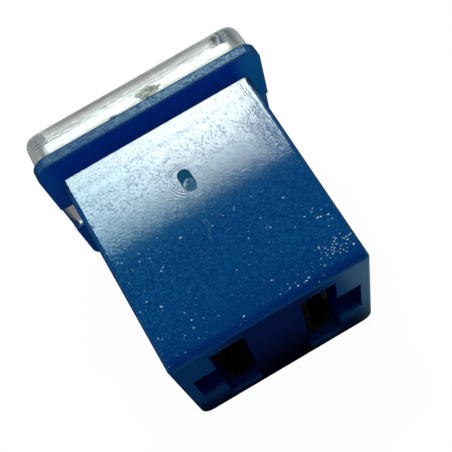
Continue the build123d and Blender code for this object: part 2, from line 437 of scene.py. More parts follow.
card_data = bpy.data.lights.new("card", "AREA")
card_data.shape = "RECTANGLE"
card_data.size = 2 * (BODY_HALF_X + CARD_PAST) * MM
card_data.size_y = card_height * MM
card = bpy.data.objects.new("card", card_data)
turn = Matrix([Vector(v) for v in (card_x, card_y, card_z)]).transposed().to_4x4()
card.matrix_world = Matrix.Translation(Vector(card_middle * MM)) @ turn
card.visible_camera = False
card.visible_diffuse = False
card.visible_transmission = False
scene.collection.objects.link(card)
print("card from h", CARD_LOW_H, "height", round(card_height, 2), "x axis", card_x.round(2))

# %% [markdown]
# The card's brightness is set over its own surface, with the Geometry node's Parametric output. It
# grows to the right with the square of the distance, where the strip is brightest. Upwards it
# fades in in two steps: slowly while the panel still shines beside it, then fully.

# %% Card, brightness
CARD_POWER = 0.000114
CARD_SPREAD = 44.0
CARD_COLOUR = (0.94, 1.06, 1.02)
CARD_LEFT, CARD_RIGHT = 1.02, 2.2
CARD_MID_H, CARD_FULL_H = 12.7, 13.15
CARD_MID = 0.36

card_data.energy = CARD_POWER
card_data.color = CARD_COLOUR
card_data.spread = np.radians(CARD_SPREAD)
card_data.use_nodes = True
tree = card_data.node_tree
across, upwards, _ = axes_of(tree, add_node(tree, "ShaderNodeNewGeometry").outputs["Parametric"])
widening = {"Value": product(tree, across, across), "To Min": CARD_LEFT, "To Max": CARD_RIGHT}
rising = add_node(tree, "ShaderNodeMapRange", widening).outputs["Result"]
strip_h = FLANGE_UNDER_Y - MOUTH_Y - CARD_LOW_H
card_mid, card_full = ((h - CARD_LOW_H) / strip_h for h in (CARD_MID_H, CARD_FULL_H))
first_step = between(tree, upwards, 0.0, card_mid, 0.0, CARD_MID)
second_step = between(tree, upwards, card_mid, card_full, 0.0, 1 - CARD_MID)
strength = product(tree, rising, total(tree, first_step, second_step))
tint = mix_colour(tree, between(tree, across, 0.0, 0.55), (*LEFT_TINT, 1), WHITE)
tree.links.new(tint, tree.nodes["Emission"].inputs["Color"])
tree.links.new(strength, tree.nodes["Emission"].inputs["Strength"])
print("card reaches", CARD_MID, "at h", CARD_MID_H, "and 1 at h", CARD_FULL_H)

# %% [markdown]
# ## One way to make every moulded and stamped form
# A strip of sheet metal, a latch leg and a crimp claw are the same kind of form: a flat outline
# with a thickness, whose edges are a little rounded by the die or the mould. In the viewport one
# would extrude the outline and bevel its edges. Here one function makes them all from numbers, so
# the rounding is exact and each size has a name.


# %% Outlines
def arc(centre, radius, start, end, steps=10):
    """Points centre + radius (cos a, sin a), with a from start to end degrees."""
    a = np.radians(np.linspace(start, end, steps + 1))
    return np.stack([centre[0] + radius * np.cos(a), centre[1] + radius * np.sin(a)], axis=1)


def mitres(outline, closed=True):
    """For each point, the step that moves both sides next to it by one unit to their left.

    With unit directions u before the point and v after it, that step is the left normal of
    u + v divided by half of its length squared.
    """
    if closed:
        after = np.roll(outline, -1, axis=0) - outline
    else:
        after = np.diff(outline, axis=0, append=2 * outline[-1:] - outline[-2:-1])
    after /= np.linalg.norm(after, axis=1, keepdims=True)
    before = np.roll(after, 1, axis=0)
    if not closed:
        before[0] = after[0]
    both = before + after
    left = np.stack([-both[:, 1], both[:, 0]], axis=1)
    return left / (np.sum(both**2, axis=1, keepdims=True) / 2)


def ribbon(path, width):
    """Closed outline of a strip: the open path moved by half the width to each side."""
    side = mitres(path, closed=False) * width / 2
    return np.vstack([path - side, (path + side)[::-1]])


print("a strip along a quarter arc has", len(ribbon(arc((0, 0), 1, 0, 90), 0.4)), "points")

# %% [markdown]
# A prism carries an outline through a thickness. Its two ends are rounded by moving the outline in
# a little, ring by ring, along its mitres. Most of the stamping comes in pairs, so the second one
# of a pair is the first with x turned round.


# %% Prisms
def prism(outline, low, high, edge, axes, steps=4):
    """Rings of a prism whose two ends have a quarter round of radius edge.

    At angle t the outline is moved in by edge (1 - sin t), at edge (1 - cos t) from its end.
    The outline runs anticlockwise. axes says which coordinates the outline's first and second
    number and the height along the prism become.
    """
    t = np.linspace(0, np.pi / 2, steps + 1)
    inset = np.concatenate([edge * (1 - np.sin(t)), edge * (1 - np.sin(t[::-1]))])
    height = np.concatenate([low + edge * (1 - np.cos(t)), high - edge * (1 - np.cos(t[::-1]))])
    flat = outline[None] + inset[:, None, None] * mitres(outline)[None]
    rings = np.empty(flat.shape[:2] + (3,))
    rings[..., axes[0]] = flat[..., 0]
    rings[..., axes[1]] = flat[..., 1]
    rings[..., axes[2]] = height[:, None]
    return rings


def mirrored(rings):
    """The same rings on the other side of the fuse: x changes its sign."""
    return rings * np.array([-1, 1, 1])


unit_square = np.array([(0, 0), (1, 0), (1, 1), (0, 1)], dtype=float)
print("a prism on a square has rings", prism(unit_square, 0, 1, 0.1, (0, 1, 2)).shape)

# %% [markdown]
# Such rings of points are a skin. One more function turns skins into a piece: it joins ring to ring with
# quads, closes both ends, and keeps the edges crisp that turn by more than a given angle. It also hangs the
# piece under the root body and hides the CAD node it stands for.


# %% Pieces
def mesh_points(mesh):
    """The mesh's points as an array in millimetres."""
    flat = np.empty(3 * len(mesh.vertices))
    mesh.vertices.foreach_get("co", flat)
    return flat.reshape(-1, 3) / MM


def crisp(mesh, degrees):
    """Smooth shading, except over edges that turn by more than the given degrees."""
    mesh.shade_smooth()
    mesh.set_sharp_from_angle(angle=np.radians(degrees))


def piece(name, skins, replaced=(), sharp=35):
    """One object made of closed skins. rings[i, j] of a skin is point j of its ring i.

    The quads join ring i to ring i + 1 and point j to point j + 1, the last to the first, and one
    face closes each end. Edges that turn by more than sharp degrees are kept crisp.
    """
    points, faces, start = [], [], 0
    for rings in skins:
        index = start + np.arange(rings[..., 0].size).reshape(rings.shape[:2])
        low, high = index[:-1], index[1:]
        quads = np.stack([low, np.roll(low, -1, axis=1), np.roll(high, -1, axis=1), high], axis=-1)
        faces += quads.reshape(-1, 4).tolist() + [index[0, ::-1].tolist(), index[-1].tolist()]
        points.append(rings.reshape(-1, 3))
        start += index.size
    mesh = bpy.data.meshes.new(name)
    mesh.from_pydata(np.vstack(points) * MM, [], faces)
    work = bmesh.new()
    work.from_mesh(mesh)
    bmesh.ops.recalc_face_normals(work, faces=work.faces)
    work.to_mesh(mesh)
    work.free()
    crisp(mesh, sharp)
    result = bpy.data.objects.new(name, mesh)
    scene.collection.objects.link(result)
    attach(result, "root")
    if replaced:
        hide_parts(*replaced)
    spread = mesh_points(mesh)
    print(name, len(spread), "points", spread.min(axis=0).round(2), spread.max(axis=0).round(2))
    return result


# %% [markdown]
# ## Clear cover
# The cover is moulded in clear polycarbonate: a shallow box, open below, with soft outer edges,
# sharper inner ones and a little draft so that it leaves the mould. It could be a cube with a
# Bevel and a Solidify modifier, but then inner and outer edges would share one radius. Instead its
# wall is one profile, and each point of the profile is a rounded rectangle round the fuse.

# %% Cover, rounded rectangles
NUB_RISE = 0.1

foot_y = FLANGE_TOP_Y
roof_y = cover_high[1] - NUB_RISE
cover_middle = (cover_low + cover_high) / 2
cover_half = (cover_high - cover_low) / 2


def rounded_boxes(inset, height, radius, corner_steps=9, side_steps=6):
    """Rings, one for each inset, height and corner radius, round the middle of the cover.

    With half sizes A and B less the inset, x = u (A - r) + r cos a and z = w (B - r) + r sin a.
    Along a corner a turns while u and w stay at 1 or -1, along a side u or w changes alone.
    """
    turn = np.linspace(0, 90, corner_steps + 1)
    run = np.linspace(0, 1, side_steps + 1)[1:-1]
    u, w, a = [], [], []
    signs = ((1, 1), (-1, 1), (-1, -1), (1, -1))
    for k, ((from_u, from_w), (to_u, to_w)) in enumerate(zip(signs, signs[1:] + signs[:1])):
        u.append(np.concatenate([np.full_like(turn, from_u), from_u + run * (to_u - from_u)]))
        w.append(np.concatenate([np.full_like(turn, from_w), from_w + run * (to_w - from_w)]))
        a.append(np.concatenate([90 * k + turn, np.full_like(run, 90 * (k + 1))]))
    u, w, a = np.concatenate(u), np.concatenate(w), np.radians(np.concatenate(a))
    inset, height, radius = (np.asarray(v)[:, None] for v in (inset, height, radius))
    x = cover_middle[0] + u * (cover_half[0] - inset - radius) + radius * np.cos(a)
    z = cover_middle[2] + w * (cover_half[2] - inset - radius) + radius * np.sin(a)
    return np.stack([x, np.broadcast_to(height, x.shape), z], axis=-1)


print("cover from foot", round(foot_y, 2), "to roof", round(roof_y, 2), "half", cover_half.round(2))

# %% [markdown]
# The profile starts in the middle of the ceiling, runs down the inner wall, round the foot and up
# the outer wall to the roof. Every corner of it is a quarter round. The radius of the rectangle
# shrinks as the profile moves inwards, as in a wall of even thickness.

# %% Cover, profile
COVER_WALL = 0.95
COVER_ROOF = 0.85
COVER_CORNER = 0.95
ROOF_EDGE = 0.6
HOLLOW_CORNER = 0.3
HOLLOW_EDGE = 0.22
FOOT_EDGE = 0.07
DRAFT = 0.03
LEAST_RADIUS = 0.05


def quarter_round(corner, size, swapped=False, steps=4):
    """Quarter of an ellipse at a corner of the profile, as points (inset, y).

    At angle t the inset is size (1 - sin t) and y is size (1 - cos t) from the corner. When the
    two are swapped the curve runs the other way.
    """
    t = np.linspace(0, np.pi / 2, steps + 1)
    shares = [1 - np.cos(t), 1 - np.sin(t)] if swapped else [1 - np.sin(t), 1 - np.cos(t)]
    return np.array(corner) + np.array(size) * np.stack(shares, axis=1)


ceiling_y = roof_y - COVER_ROOF
profile = np.vstack(
    [
        [[COVER_WALL + HOLLOW_EDGE + 0.15, ceiling_y]],
        quarter_round((COVER_WALL, ceiling_y), (HOLLOW_EDGE, -HOLLOW_EDGE)),
        quarter_round((COVER_WALL - DRAFT, foot_y), (-FOOT_EDGE, FOOT_EDGE), swapped=True),
        quarter_round((0, foot_y), (FOOT_EDGE, FOOT_EDGE)),
        quarter_round((DRAFT, roof_y), (ROOF_EDGE - DRAFT, -ROOF_EDGE), swapped=True, steps=8),
        [[ROOF_EDGE + 0.12, roof_y]],
    ]
)
inset, profile_y = profile.T
hollow_radius = np.minimum(HOLLOW_CORNER + COVER_WALL - inset, HOLLOW_CORNER + 0.1)
corner_radius = np.where(inset < ROOF_EDGE + 0.2, COVER_CORNER - inset, hollow_radius)
shell_rings = rounded_boxes(inset, profile_y, np.maximum(corner_radius, LEAST_RADIUS))
cover = piece("cover", [shell_rings], ["clear_cover"])

# %% [markdown]
# Each end of the cover has a springy leg that drops through the flange and hooks under a bar with
# its barb. A nub on the roof is where the moulding gate was snapped off. Each is a prism: the leg on
# an outline drawn from the front, the nub on a slightly uneven circle drawn from above.

# %% Leg and nub
LEG_HALF = 1.35
LEG_THICK = 0.42
LEG_EDGE = 0.07
LEG_NOSE_RISE = 0.12
LEG_NOSE_IN = 0.1
BARB_OUT = 0.22
BARB_RISE = 0.26
BARB_BLUNT = 0.06
BARB_SIDE = 0.14
REACH_IN = 0.3
NUB_RADIUS = 0.3
NUB_EDGE = 0.05
NUB_IN = 1.0
NUB_ROOT = 0.2

leg_foot = cover_low[1]
leg_out = cover_high[0] - BARB_OUT
leg_in = leg_out - LEG_THICK
leg_outline = np.array(
    [
        (leg_in, foot_y + REACH_IN),
        (leg_in, leg_foot + LEG_NOSE_RISE),
        (leg_in + LEG_NOSE_IN, leg_foot),
        (leg_out + BARB_OUT - BARB_BLUNT, leg_foot),
        (leg_out + BARB_OUT, leg_foot + BARB_BLUNT),
        (leg_out + BARB_OUT, leg_foot + BARB_SIDE),
        (leg_out, leg_foot + BARB_RISE),
        (leg_out, foot_y + REACH_IN),
    ]
)
leg_z = cover_middle[2]
leg_rings = prism(leg_outline, leg_z - LEG_HALF, leg_z + LEG_HALF, LEG_EDGE, (0, 1, 2))

nub_x = cover_high[0] - NUB_IN
nub_z = cover_high[2] - NUB_IN
nub_turn = np.linspace(0, 2 * np.pi, 24, endpoint=False)
nub_reach = NUB_RADIUS * (1 + 0.07 * np.sin(3 * nub_turn))
nub_outline = np.stack([nub_z + nub_reach * np.cos(nub_turn), nub_x + NUB_RADIUS * np.sin(nub_turn)], axis=1)
nub_rings = prism(nub_outline, roof_y - NUB_ROOT, roof_y + NUB_RISE, NUB_EDGE, (2, 0, 1))
print("leg from", leg_foot.round(2), "up, nub at", nub_x.round(2), nub_z.round(2))

# %% [markdown]
# The legs and the nub reach into the shell. Left like that, light would bend at walls that aren't
# there inside the clear plastic, so a Boolean modifier fuses each with the shell into one skin.

# %% Cover, fused
for label, rings in (("leg", leg_rings), ("other_leg", mirrored(leg_rings)), ("nub", nub_rings)):
    tool = piece(label, [rings])
    fuse = cover.modifiers.new("fuse", "BOOLEAN")
    fuse.operation = "UNION"
    fuse.solver = "EXACT"
    fuse.object = tool
    fused = cover.evaluated_get(bpy.context.evaluated_depsgraph_get())
    joined = bpy.data.meshes.new_from_object(fused)
    cover.modifiers.clear()
    cover.data = joined
    bpy.data.objects.remove(tool)
crisp(cover.data, 35)
print("cover", len(cover.data.vertices), "points after fusing")

# %% [markdown]
# ## Fuse element
# The element is stamped from a copper-alloy strip and folded. Each terminal is a back plate whose
# two edges are rolled over to grip a flat blade. It could be a curve with a thickness, but sheet
# metal has square edges and an even gauge. So every part is a ribbon: a path in one plane, given
# the sheet's thickness and carried across the sheet's width.

# %% Terminals
SHEET = 0.4
SHEET_EDGE = 0.06
ROLL = 0.67
LIP = 1.23
TERMINAL_TOP = 0.6

strip_middle = (strip_low + strip_high) / 2
middle_z = strip_middle[2]
far_x = strip_high[0] - SHEET / 2
reach = strip_high[2] - middle_z - SHEET / 2
rolled_edge = arc((far_x - ROLL, middle_z + reach - ROLL), ROLL, 0, 180, 20)
half_path = np.vstack([[(far_x, middle_z + LIP)], rolled_edge])
other_half = half_path[::-1] * np.array([1, -1]) + np.array([0, 2 * middle_z])
terminal_outline = ribbon(np.vstack([half_path, other_half]), SHEET)
terminal = prism(terminal_outline, strip_low[1], TERMINAL_TOP, SHEET_EDGE, (0, 2, 1))
print("terminal rings", terminal.shape)

# %% [markdown]
# A neck climbs from each terminal over the web, in two bends. Its path lies in x and y, as it is
# seen from the front, and its width along z.

# %% Necks
NECK_HALF = 2.1
NECK_LAP = 0.3
SHOULDER_Y = 2.8
RISER_X = 1.3
BEND = 0.3
LINK_TOP_Y = 5.0

near_x = far_x - 2 * ROLL
neck_path = np.vstack(
    [
        [(near_x, TERMINAL_TOP - NECK_LAP)],
        arc((near_x - BEND, SHOULDER_Y - BEND), BEND, 0, 90, 6),
        arc((RISER_X + BEND, SHOULDER_Y + BEND), BEND, 270, 180, 6),
        [(RISER_X, LINK_TOP_Y)],
    ]
)
neck = prism(ribbon(neck_path, SHEET), middle_z - NECK_HALF, middle_z + NECK_HALF, SHEET_EDGE, (0, 1, 2))
print("neck rings", neck.shape)

# %% [markdown]
# A thin Z-shaped link joins the two necks. It is the narrowest place of the sheet, the one that
# gets hot. In its middle a crimp, an open claw, holds the tin pellet.

# %% Link and crimp
LINK_SHEET = 0.3
LINK_WIDTH = 0.9
LINK_OFFSET = 1.5
LINK_BEND = 0.45
LINK_EDGE = 0.05
CLAW = 0.2
CLAW_GAP = 0.02
CLAW_HALF = 0.4

link_path = np.vstack(
    [
        [(RISER_X, middle_z - LINK_OFFSET)],
        arc((LINK_BEND, middle_z - LINK_OFFSET + LINK_BEND), LINK_BEND, 270, 180, 8),
        arc((-LINK_BEND, middle_z + LINK_OFFSET - LINK_BEND), LINK_BEND, 0, 90, 8),
        [(-RISER_X, middle_z + LINK_OFFSET)],
    ]
)
link = prism(ribbon(link_path, LINK_WIDTH), LINK_TOP_Y - LINK_SHEET, LINK_TOP_Y, LINK_EDGE, (0, 2, 1))

bar_y = (bar_low[1] + bar_high[1]) / 2
bar_radius = (bar_high[0] - bar_low[0]) / 2
claw_path = arc((0, bar_y), bar_radius + CLAW_GAP + CLAW / 2, 150, 390, 24)
crimp = prism(ribbon(claw_path, CLAW), middle_z - CLAW_HALF, middle_z + CLAW_HALF, LINK_EDGE, (0, 1, 2))

element_skins = [terminal, mirrored(terminal), neck, mirrored(neck), link, crimp]
element = piece("element", element_skins, ["fuse_element"])

# %% [markdown]
# ## Tin pellet
# The pellet is a short bar of tin alloy. When the link gets hot the tin melts into it, and the link
# gives way: that is how the fuse blows at a small, lasting overload. The bar was cropped from wire,
# so its side is straight and its two ends are softly rounded. It is again a prism, on a circle.

# %% Pellet
PELLET_EDGE = 0.14
PELLET_SLACK = 0.01

round_turn = np.linspace(0, 2 * np.pi, 40, endpoint=False)
circle = np.stack([np.cos(round_turn), np.sin(round_turn)], axis=1)
bar_outline = circle * (bar_radius - PELLET_SLACK) + np.array([0, bar_y])
bar_rings = prism(bar_outline, bar_low[2], bar_high[2], PELLET_EDGE, (0, 1, 2), steps=6)
pellet = piece("pellet", [bar_rings], ["tin_pellet"])

# %% [markdown]
# ## Gate scar
# Plastic was pushed into the mould at an oval gate in the middle of the face. What stays is a
# smooth sloping dish with the torn stub of the gate at its lower end. Sculpting it would give a
# form that can't be repeated, so its surface is a sum of two kinds of function: plateaus, which
# are flat inside an outline and fall off smoothly, and ripples, which look torn.


# %% Plateaus and ripples
def plateau(distance, inner, outer):
    """1 under the inner distance, 0 over the outer one, 3t^2 - 2t^3 between them."""
    t = np.clip((outer - distance) / (outer - inner), 0, 1)
    return t * t * (3 - 2 * t)


def ripples(a, b, cycles):
    """Small irregular waves: sums of sines of a and b with no common period, from -1 to 1."""
    c = 2 * np.pi * cycles
    crossed = np.sin(c * a + 0.7) * np.sin(1.3 * c * b + 1.9)
    slanted = np.sin(2.3 * c * a - 1.7 * c * b) / 2
    steep = np.sin(3.1 * c * b + c * a) / 3
    return (crossed + slanted + steep) / 1.85


def squarish(v):
    """The sign of v times |v| to the power 0.75: turns the sines of an oval into a fuller one's."""
    return np.sign(v) * np.abs(v) ** 0.75


print("plateau from 0.8 to 1 at 0.7, 0.9, 1.1:", plateau(np.array([0.7, 0.9, 1.1]), 0.8, 1))

# %% [markdown]
# The scar is one surface over a full oval: a point at (rho, phi) lies at rho times the oval's
# edge. Its depth grows downwards, so that the dish mirrors the dark below the lamp, and the round,
# rough stub stands in its lower end.

# %% Gate scar
GATE_Y = 9.85 + MOUTH_Y
SCAR_HALF_X = 0.46
SCAR_HALF_Y = 0.86
SCAR_DROP = 0.08
SCAR_PROUD = 0.004
SCAR_UNDER = 0.135
POCKET_RADIUS = 0.425
POCKET_STRAIGHT = 0.325
STUB_X = 0.05
STUB_Y = GATE_Y - 0.40
STUB_HALF_X = 0.36
STUB_HALF_Y = 0.40
STUB_DEPTH = 0.038
STUB_ROUGH = 0.010
DISH_DEPTH = 0.02
DISH_DEEPER = 0.105
DISH_FROM = 0.72
DISH_OVER = 0.8

rho = np.concatenate([np.linspace(0.03, 0.84, 22), np.linspace(0.86, 1, 10)])[:, None]
phi = np.linspace(0, 2 * np.pi, 96, endpoint=False)[None]
scar_x = SCAR_HALF_X * rho * squarish(np.cos(phi))
scar_y = GATE_Y - SCAR_DROP + SCAR_HALF_Y * rho * squarish(np.sin(phi))
stub_turn = np.arctan2(scar_y - STUB_Y, scar_x - STUB_X)
to_stub = np.hypot((scar_x - STUB_X) / STUB_HALF_X, (scar_y - STUB_Y) / STUB_HALF_Y)
ragged = 0.08 * np.sin(3 * stub_turn + 0.4) + 0.05 * np.sin(7 * stub_turn + 2)
stub = plateau(to_stub + ragged, 0.84, 1.0)
past_straight = np.maximum(np.abs(scar_y - GATE_Y) - POCKET_STRAIGHT, 0)
sunk = plateau(np.hypot(scar_x, past_straight) / POCKET_RADIUS, 0.88, 0.975)
down_dish = np.clip((DISH_FROM - scar_y + GATE_Y) / DISH_OVER, 0, 1)
slope = DISH_DEPTH + DISH_DEEPER * down_dish
rough_top = STUB_DEPTH + STUB_ROUGH * ripples(scar_x, scar_y, 6.0)
scar_z = FRONT_Z + SCAR_PROUD - sunk * ((1 - stub) * slope + stub * rough_top)
scar_top = np.stack([scar_x, scar_y, scar_z], axis=-1)
scar_low = scar_top[-1:] * np.array([1, 1, 0]) + np.array([0, 0, FRONT_Z - SCAR_UNDER])
scar = piece("gate_scar", [np.vstack([scar_top, scar_low])], sharp=80)

# %% [markdown]
# ## Residue
# A smear of old sealant clings to the cover where it meets the flange, with a smaller crumb beside
# it. A texture could paint them on, but the rim of a real smear catches light. So each is a
# lens-shaped blob on the front wall: its outline is an oval whose radius is ruffled by a few
# sines, and it is thickest in the middle.

# %% Residue
BLOB_FOOT = 0.03
BLOB_LIFT = 0.015
BLOB_RIM = 0.012
LUMP = 0.35
LUMPS_PER_MM = 1.7
BLOBS = (  # middle x, half width, half height, thickness, turn of the ruffles
    (0.66, 0.78, 0.45, 0.055, 0.4),
    (-1.85, 0.32, 0.12, 0.035, 2.0),
)
RUFFLES = (  # size, waves round the outline, times the blob's turn, fixed turn
    (0.11, 3, 1, 0),
    (0.09, 5, 2, 0),
    (0.07, 11, 0, 0),
    (0.05, 19, 0, 1),
)


def blob(middle_x, half_x, half_y, thick, turn):
    """Rings of a ruffled lens on the cover's front wall, standing on the flange.

    At (rho, phi) it is rho r(phi) from the middle, with r = 1 + sines, and its surface stands
    thick (1 - rho^3) off the wall. What would reach under the flange's top is pushed up to it.
    """
    rho = np.linspace(0.03, 1, 18)[:, None]
    phi = np.linspace(0, 2 * np.pi, 90, endpoint=False)[None]
    waves = [size * np.sin(count * phi + turns * turn + more) for size, count, turns, more in RUFFLES]
    ruffled = 1 + sum(waves)
    x = middle_x + half_x * rho * ruffled * np.cos(phi)
    y = foot_y + BLOB_FOOT + half_y + half_y * rho * ruffled * np.sin(phi)
    z = cover_high[2] + thick * (1 - rho**3) * (1 + LUMP * ripples(x, y, LUMPS_PER_MM))
    y = np.maximum(y, foot_y + BLOB_LIFT * (1 + rho))
    front = np.stack([x, y, z], axis=-1)
    rim = front[-1:] - np.array([0, 0, BLOB_RIM])
    return np.vstack([front, rim])


smears = piece("residue", [blob(*sizes) for sizes in BLOBS], sharp=70)

# %% [markdown]
# ## Finishes
# Small effects that several finishes share are shader groups with named inputs: a group can be
# used in many materials and changed in one place. All of them work in millimetres on the object's
# own coordinates, so a Size of 0.15 means grains of 0.15 mm whatever the piece is. They only give
# values and masks. What a mask does is said in each material.


# %% Groups and vectors
def new_group(name, inputs, outputs):
    """Empty shader group with its inner ends. inputs and outputs give each socket's kind by name."""
    tree = bpy.data.node_groups.new(name, "ShaderNodeTree")
    for side, sockets in (("INPUT", inputs), ("OUTPUT", outputs)):
        for label, kind in sockets.items():
            tree.interface.new_socket(name=label, in_out=side, socket_type="NodeSocket" + kind)
    return tree, tree.nodes.new("NodeGroupInput").outputs, tree.nodes.new("NodeGroupOutput").inputs


def use(tree, group, **links):
    """The outputs of a shader group placed in a tree. Each keyword is an input of the group."""
    return add_node(tree, "ShaderNodeGroup", links, node_tree=group).outputs


def vector(tree, operation, a, b=None, scale=None):
    """Result of a Vector Math node."""
    links = {0: a} if b is None else {0: a, 1: b}
    if scale is not None:
        links["Scale"] = scale
    return add_node(tree, "ShaderNodeVectorMath", links, operation=operation).outputs[0]


def length(tree, a):
    """Length of a vector."""
    return add_node(tree, "ShaderNodeVectorMath", {0: a}, operation="LENGTH").outputs["Value"]


print("made", [helper.__name__ for helper in (new_group, use, vector, length)])

# %% [markdown]
# Grain is noise that has been scaled to the size of its grains. Streaks are the same noise with a
# size of its own along each axis, so that it is drawn out into lines.


# %% Grain and streaks
def noise(tree, place, detail, roughness):
    """Value from 0 to 1 of a noise whose lumps are one unit wide."""
    links = {"Vector": place, "Scale": 1.0, "Detail": detail, "Roughness": roughness}
    return add_node(tree, "ShaderNodeTexNoise", links).outputs["Fac"]


grain_group, given, result = new_group("grain", {"Vector": "Vector", "Size": "Float"}, {"Value": "Float"})
per_mm = math(grain_group, "DIVIDE", 1.0, given["Size"])
scaled = vector(grain_group, "SCALE", given["Vector"], scale=per_mm)
grain_group.links.new(noise(grain_group, scaled, 2.0, 0.6), result["Value"])

streak_inputs = {"Vector": "Vector", "Sizes": "Vector"}
streak_group, given, result = new_group("streaks", streak_inputs, {"Value": "Float"})
scaled = vector(streak_group, "DIVIDE", given["Vector"], given["Sizes"])
streak_group.links.new(noise(streak_group, scaled, 3.0, 0.65), result["Value"])
print("groups", grain_group.name, streak_group.name)


def grains(tree, place, size):
    """Grain of the given size in millimetres."""
    return use(tree, grain_group, Vector=place, Size=size)["Value"]


def streaks(tree, place, *sizes):
    """Streaks with their sizes along x, y and z in millimetres."""
    return use(tree, streak_group, Vector=place, Sizes=sizes)["Value"]


# %% [markdown]
# Specks are round spots, one in each cell of a Voronoi texture. Share says what part of the cells
# has one. Every speck gets a size of its own from the random colour of its cell, and a little
# noise on the coordinates keeps the spots from being perfect discs.

# %% Specks
SPECK_WOBBLE = 0.12
SMALLEST, LARGEST = 0.55, 1.2

speck_inputs = {"Vector": "Vector", "Spacing": "Float", "Radius": "Float", "Share": "Float"}
speck_group, given, result = new_group("specks", speck_inputs, {"Mask": "Float"})
wobble_links = {"Vector": given["Vector"], "Scale": 9.0, "Detail": 1.0}
wobble = add_node(speck_group, "ShaderNodeTexNoise", wobble_links).outputs["Color"]
moved = vector(speck_group, "ADD", given["Vector"], vector(speck_group, "SCALE", wobble, scale=SPECK_WOBBLE))
per_cell = math(speck_group, "DIVIDE", 1.0, given["Spacing"])
scaled = vector(speck_group, "SCALE", moved, scale=per_cell)
cells = add_node(speck_group, "ShaderNodeTexVoronoi", {"Vector": scaled, "Scale": 1.0}).outputs
apart = product(speck_group, cells["Distance"], given["Spacing"])
luck = add_node(speck_group, "ShaderNodeSeparateColor", {0: cells["Color"]}).outputs
own_size = between(speck_group, luck[1], 0.0, 1.0, SMALLEST, LARGEST)
spot_radius = product(speck_group, given["Radius"], own_size)
spot = falling(speck_group, apart, product(speck_group, spot_radius, 0.5), spot_radius)
chosen = math(speck_group, "LESS_THAN", luck[0], given["Share"])
speck_group.links.new(product(speck_group, spot, chosen), result["Mask"])
print("group", speck_group.name, "with", [socket.name for socket in given][:4])


def specks(tree, place, spacing, radius, share):
    """Mask of specks: their spacing and radius in millimetres and the share of places with one."""
    return use(tree, speck_group, Vector=place, Spacing=spacing, Radius=radius, Share=share)["Mask"]


# %% [markdown]
# Most marks sit at a place: on one face, within a height, round a point. So every material starts
# with its coordinates in millimetres and the direction its surface faces, and a patch is a soft
# round mask about a point. A finish is then built as a painter would, one coat over the other.


# %% Places, patches and coats
def place_mm(tree):
    """Object coordinates in millimetres, as a vector and as its x, y and z."""
    here = vector(tree, "SCALE", coordinate(tree, "Object"), scale=1 / MM)
    return here, *axes_of(tree, here)


def facing(tree):
    """The object's own normal as its x, y and z."""
    return axes_of(tree, coordinate(tree, "Normal"))


def patch(tree, here, middle, radii):
    """Soft round patch: 1 at its middle, 0 from its radii along x, y and z outwards."""
    apart = vector(tree, "DIVIDE", vector(tree, "SUBTRACT", here, middle), radii)
    return falling(tree, length(tree, apart), 0.2, 1.0)


def coated(tree, colour, *coats):
    """A colour with coats over it. Each coat is a mask and the colour where that mask is 1."""
    for mask, paint in coats:
        colour = mix_colour(tree, mask, colour, paint)
    return colour


def principled(tree, height, depth_mm, **links):
    """Principled shader, its normal bumped by height times depth_mm. An underscore is a space."""
    bump_links = {"Height": height, "Strength": 1.0, "Distance": depth_mm * MM}
    bump = add_node(tree, "ShaderNodeBump", bump_links)
    links = {name.replace("_", " "): value for name, value in links.items()}
    return add_node(tree, "ShaderNodeBsdfPrincipled", {**links, "Normal": bump.outputs["Normal"]}).outputs[0]


def dress(thing, material):
    """Give a piece one material in place of any it has."""
    thing.data.materials.clear()
    thing.data.materials.append(material)
    print(thing.name, "wears", material.name, "of", len(material.node_tree.nodes), "nodes")


print("made", [helper.__name__ for helper in (place_mm, facing, patch, coated, principled, dress)])

# %% [markdown]
# ## Blue plastic
# The housing is moulded in a deep blue, slightly glossy plastic. One texture over all of it would be simple,
# but each of its faces has led a different life: the mould's front was spark eroded and gives the face a
# fine grain, and the flange is rubbed. The end round the sockets carries painted shade. The first step is
# therefore a mask for each of them, from where a point is and which way it faces.

# %% Blue plastic, regions
blue, tree, surface = new_material("blue_plastic_moulded")
here, x, y, z = place_mm(tree)
_, normal_y, normal_z = facing(tree)
sideways = math(tree, "ABSOLUTE", x)

to_front = between(tree, normal_z, 0.75, 0.95)
to_mouth = falling(tree, normal_y, -0.95, -0.75)
on_flange = product(tree, to_front, between(tree, z, FLANGE_FRONT_Z - 0.2, FLANGE_FRONT_Z - 0.1))
face_layer = band(tree, z, FRONT_Z - 0.12, FRONT_Z - 0.04, FRONT_Z + 0.1, FRONT_Z + 0.2)
on_face = product(tree, to_front, face_layer)
under_flange = product(tree, to_mouth, between(tree, y, FLANGE_UNDER_Y - 0.3, FLANGE_UNDER_Y - 0.1))
on_mouth = product(tree, to_mouth, falling(tree, y, MOUTH_Y + 0.1, MOUTH_Y + 0.2))
on_edge = product(tree, band(tree, normal_y, -0.95, -0.3, -0.3, -0.05), between(tree, normal_z, 0.3, 0.6))
in_socket = product(
    tree,
    band(tree, z, 0.9, 1.05, FRONT_Z - 1.05, FRONT_Z - 0.9),
    falling(tree, sideways, 5.6, 5.75),
    between(tree, y, MOUTH_Y + 0.05, MOUTH_Y + 0.35),
)
print("face from z", round(FRONT_Z, 2), "flange front z", round(FLANGE_FRONT_Z, 2))

# %% [markdown]
# Moulded grain is seen twice: it makes the lamp's image on the face rough, and up close it
# sparkles. Noise in three sizes covers it, from single grains to broad clouds. A few pits, where
# the mould's own surface was chipped, show only in the upper half, where the lamp's image lies.

# %% Blue plastic, grain and pits
FINE_GRAIN = 0.12
COARSE_GRAIN = 0.9
BROAD_GRAIN = 4.0

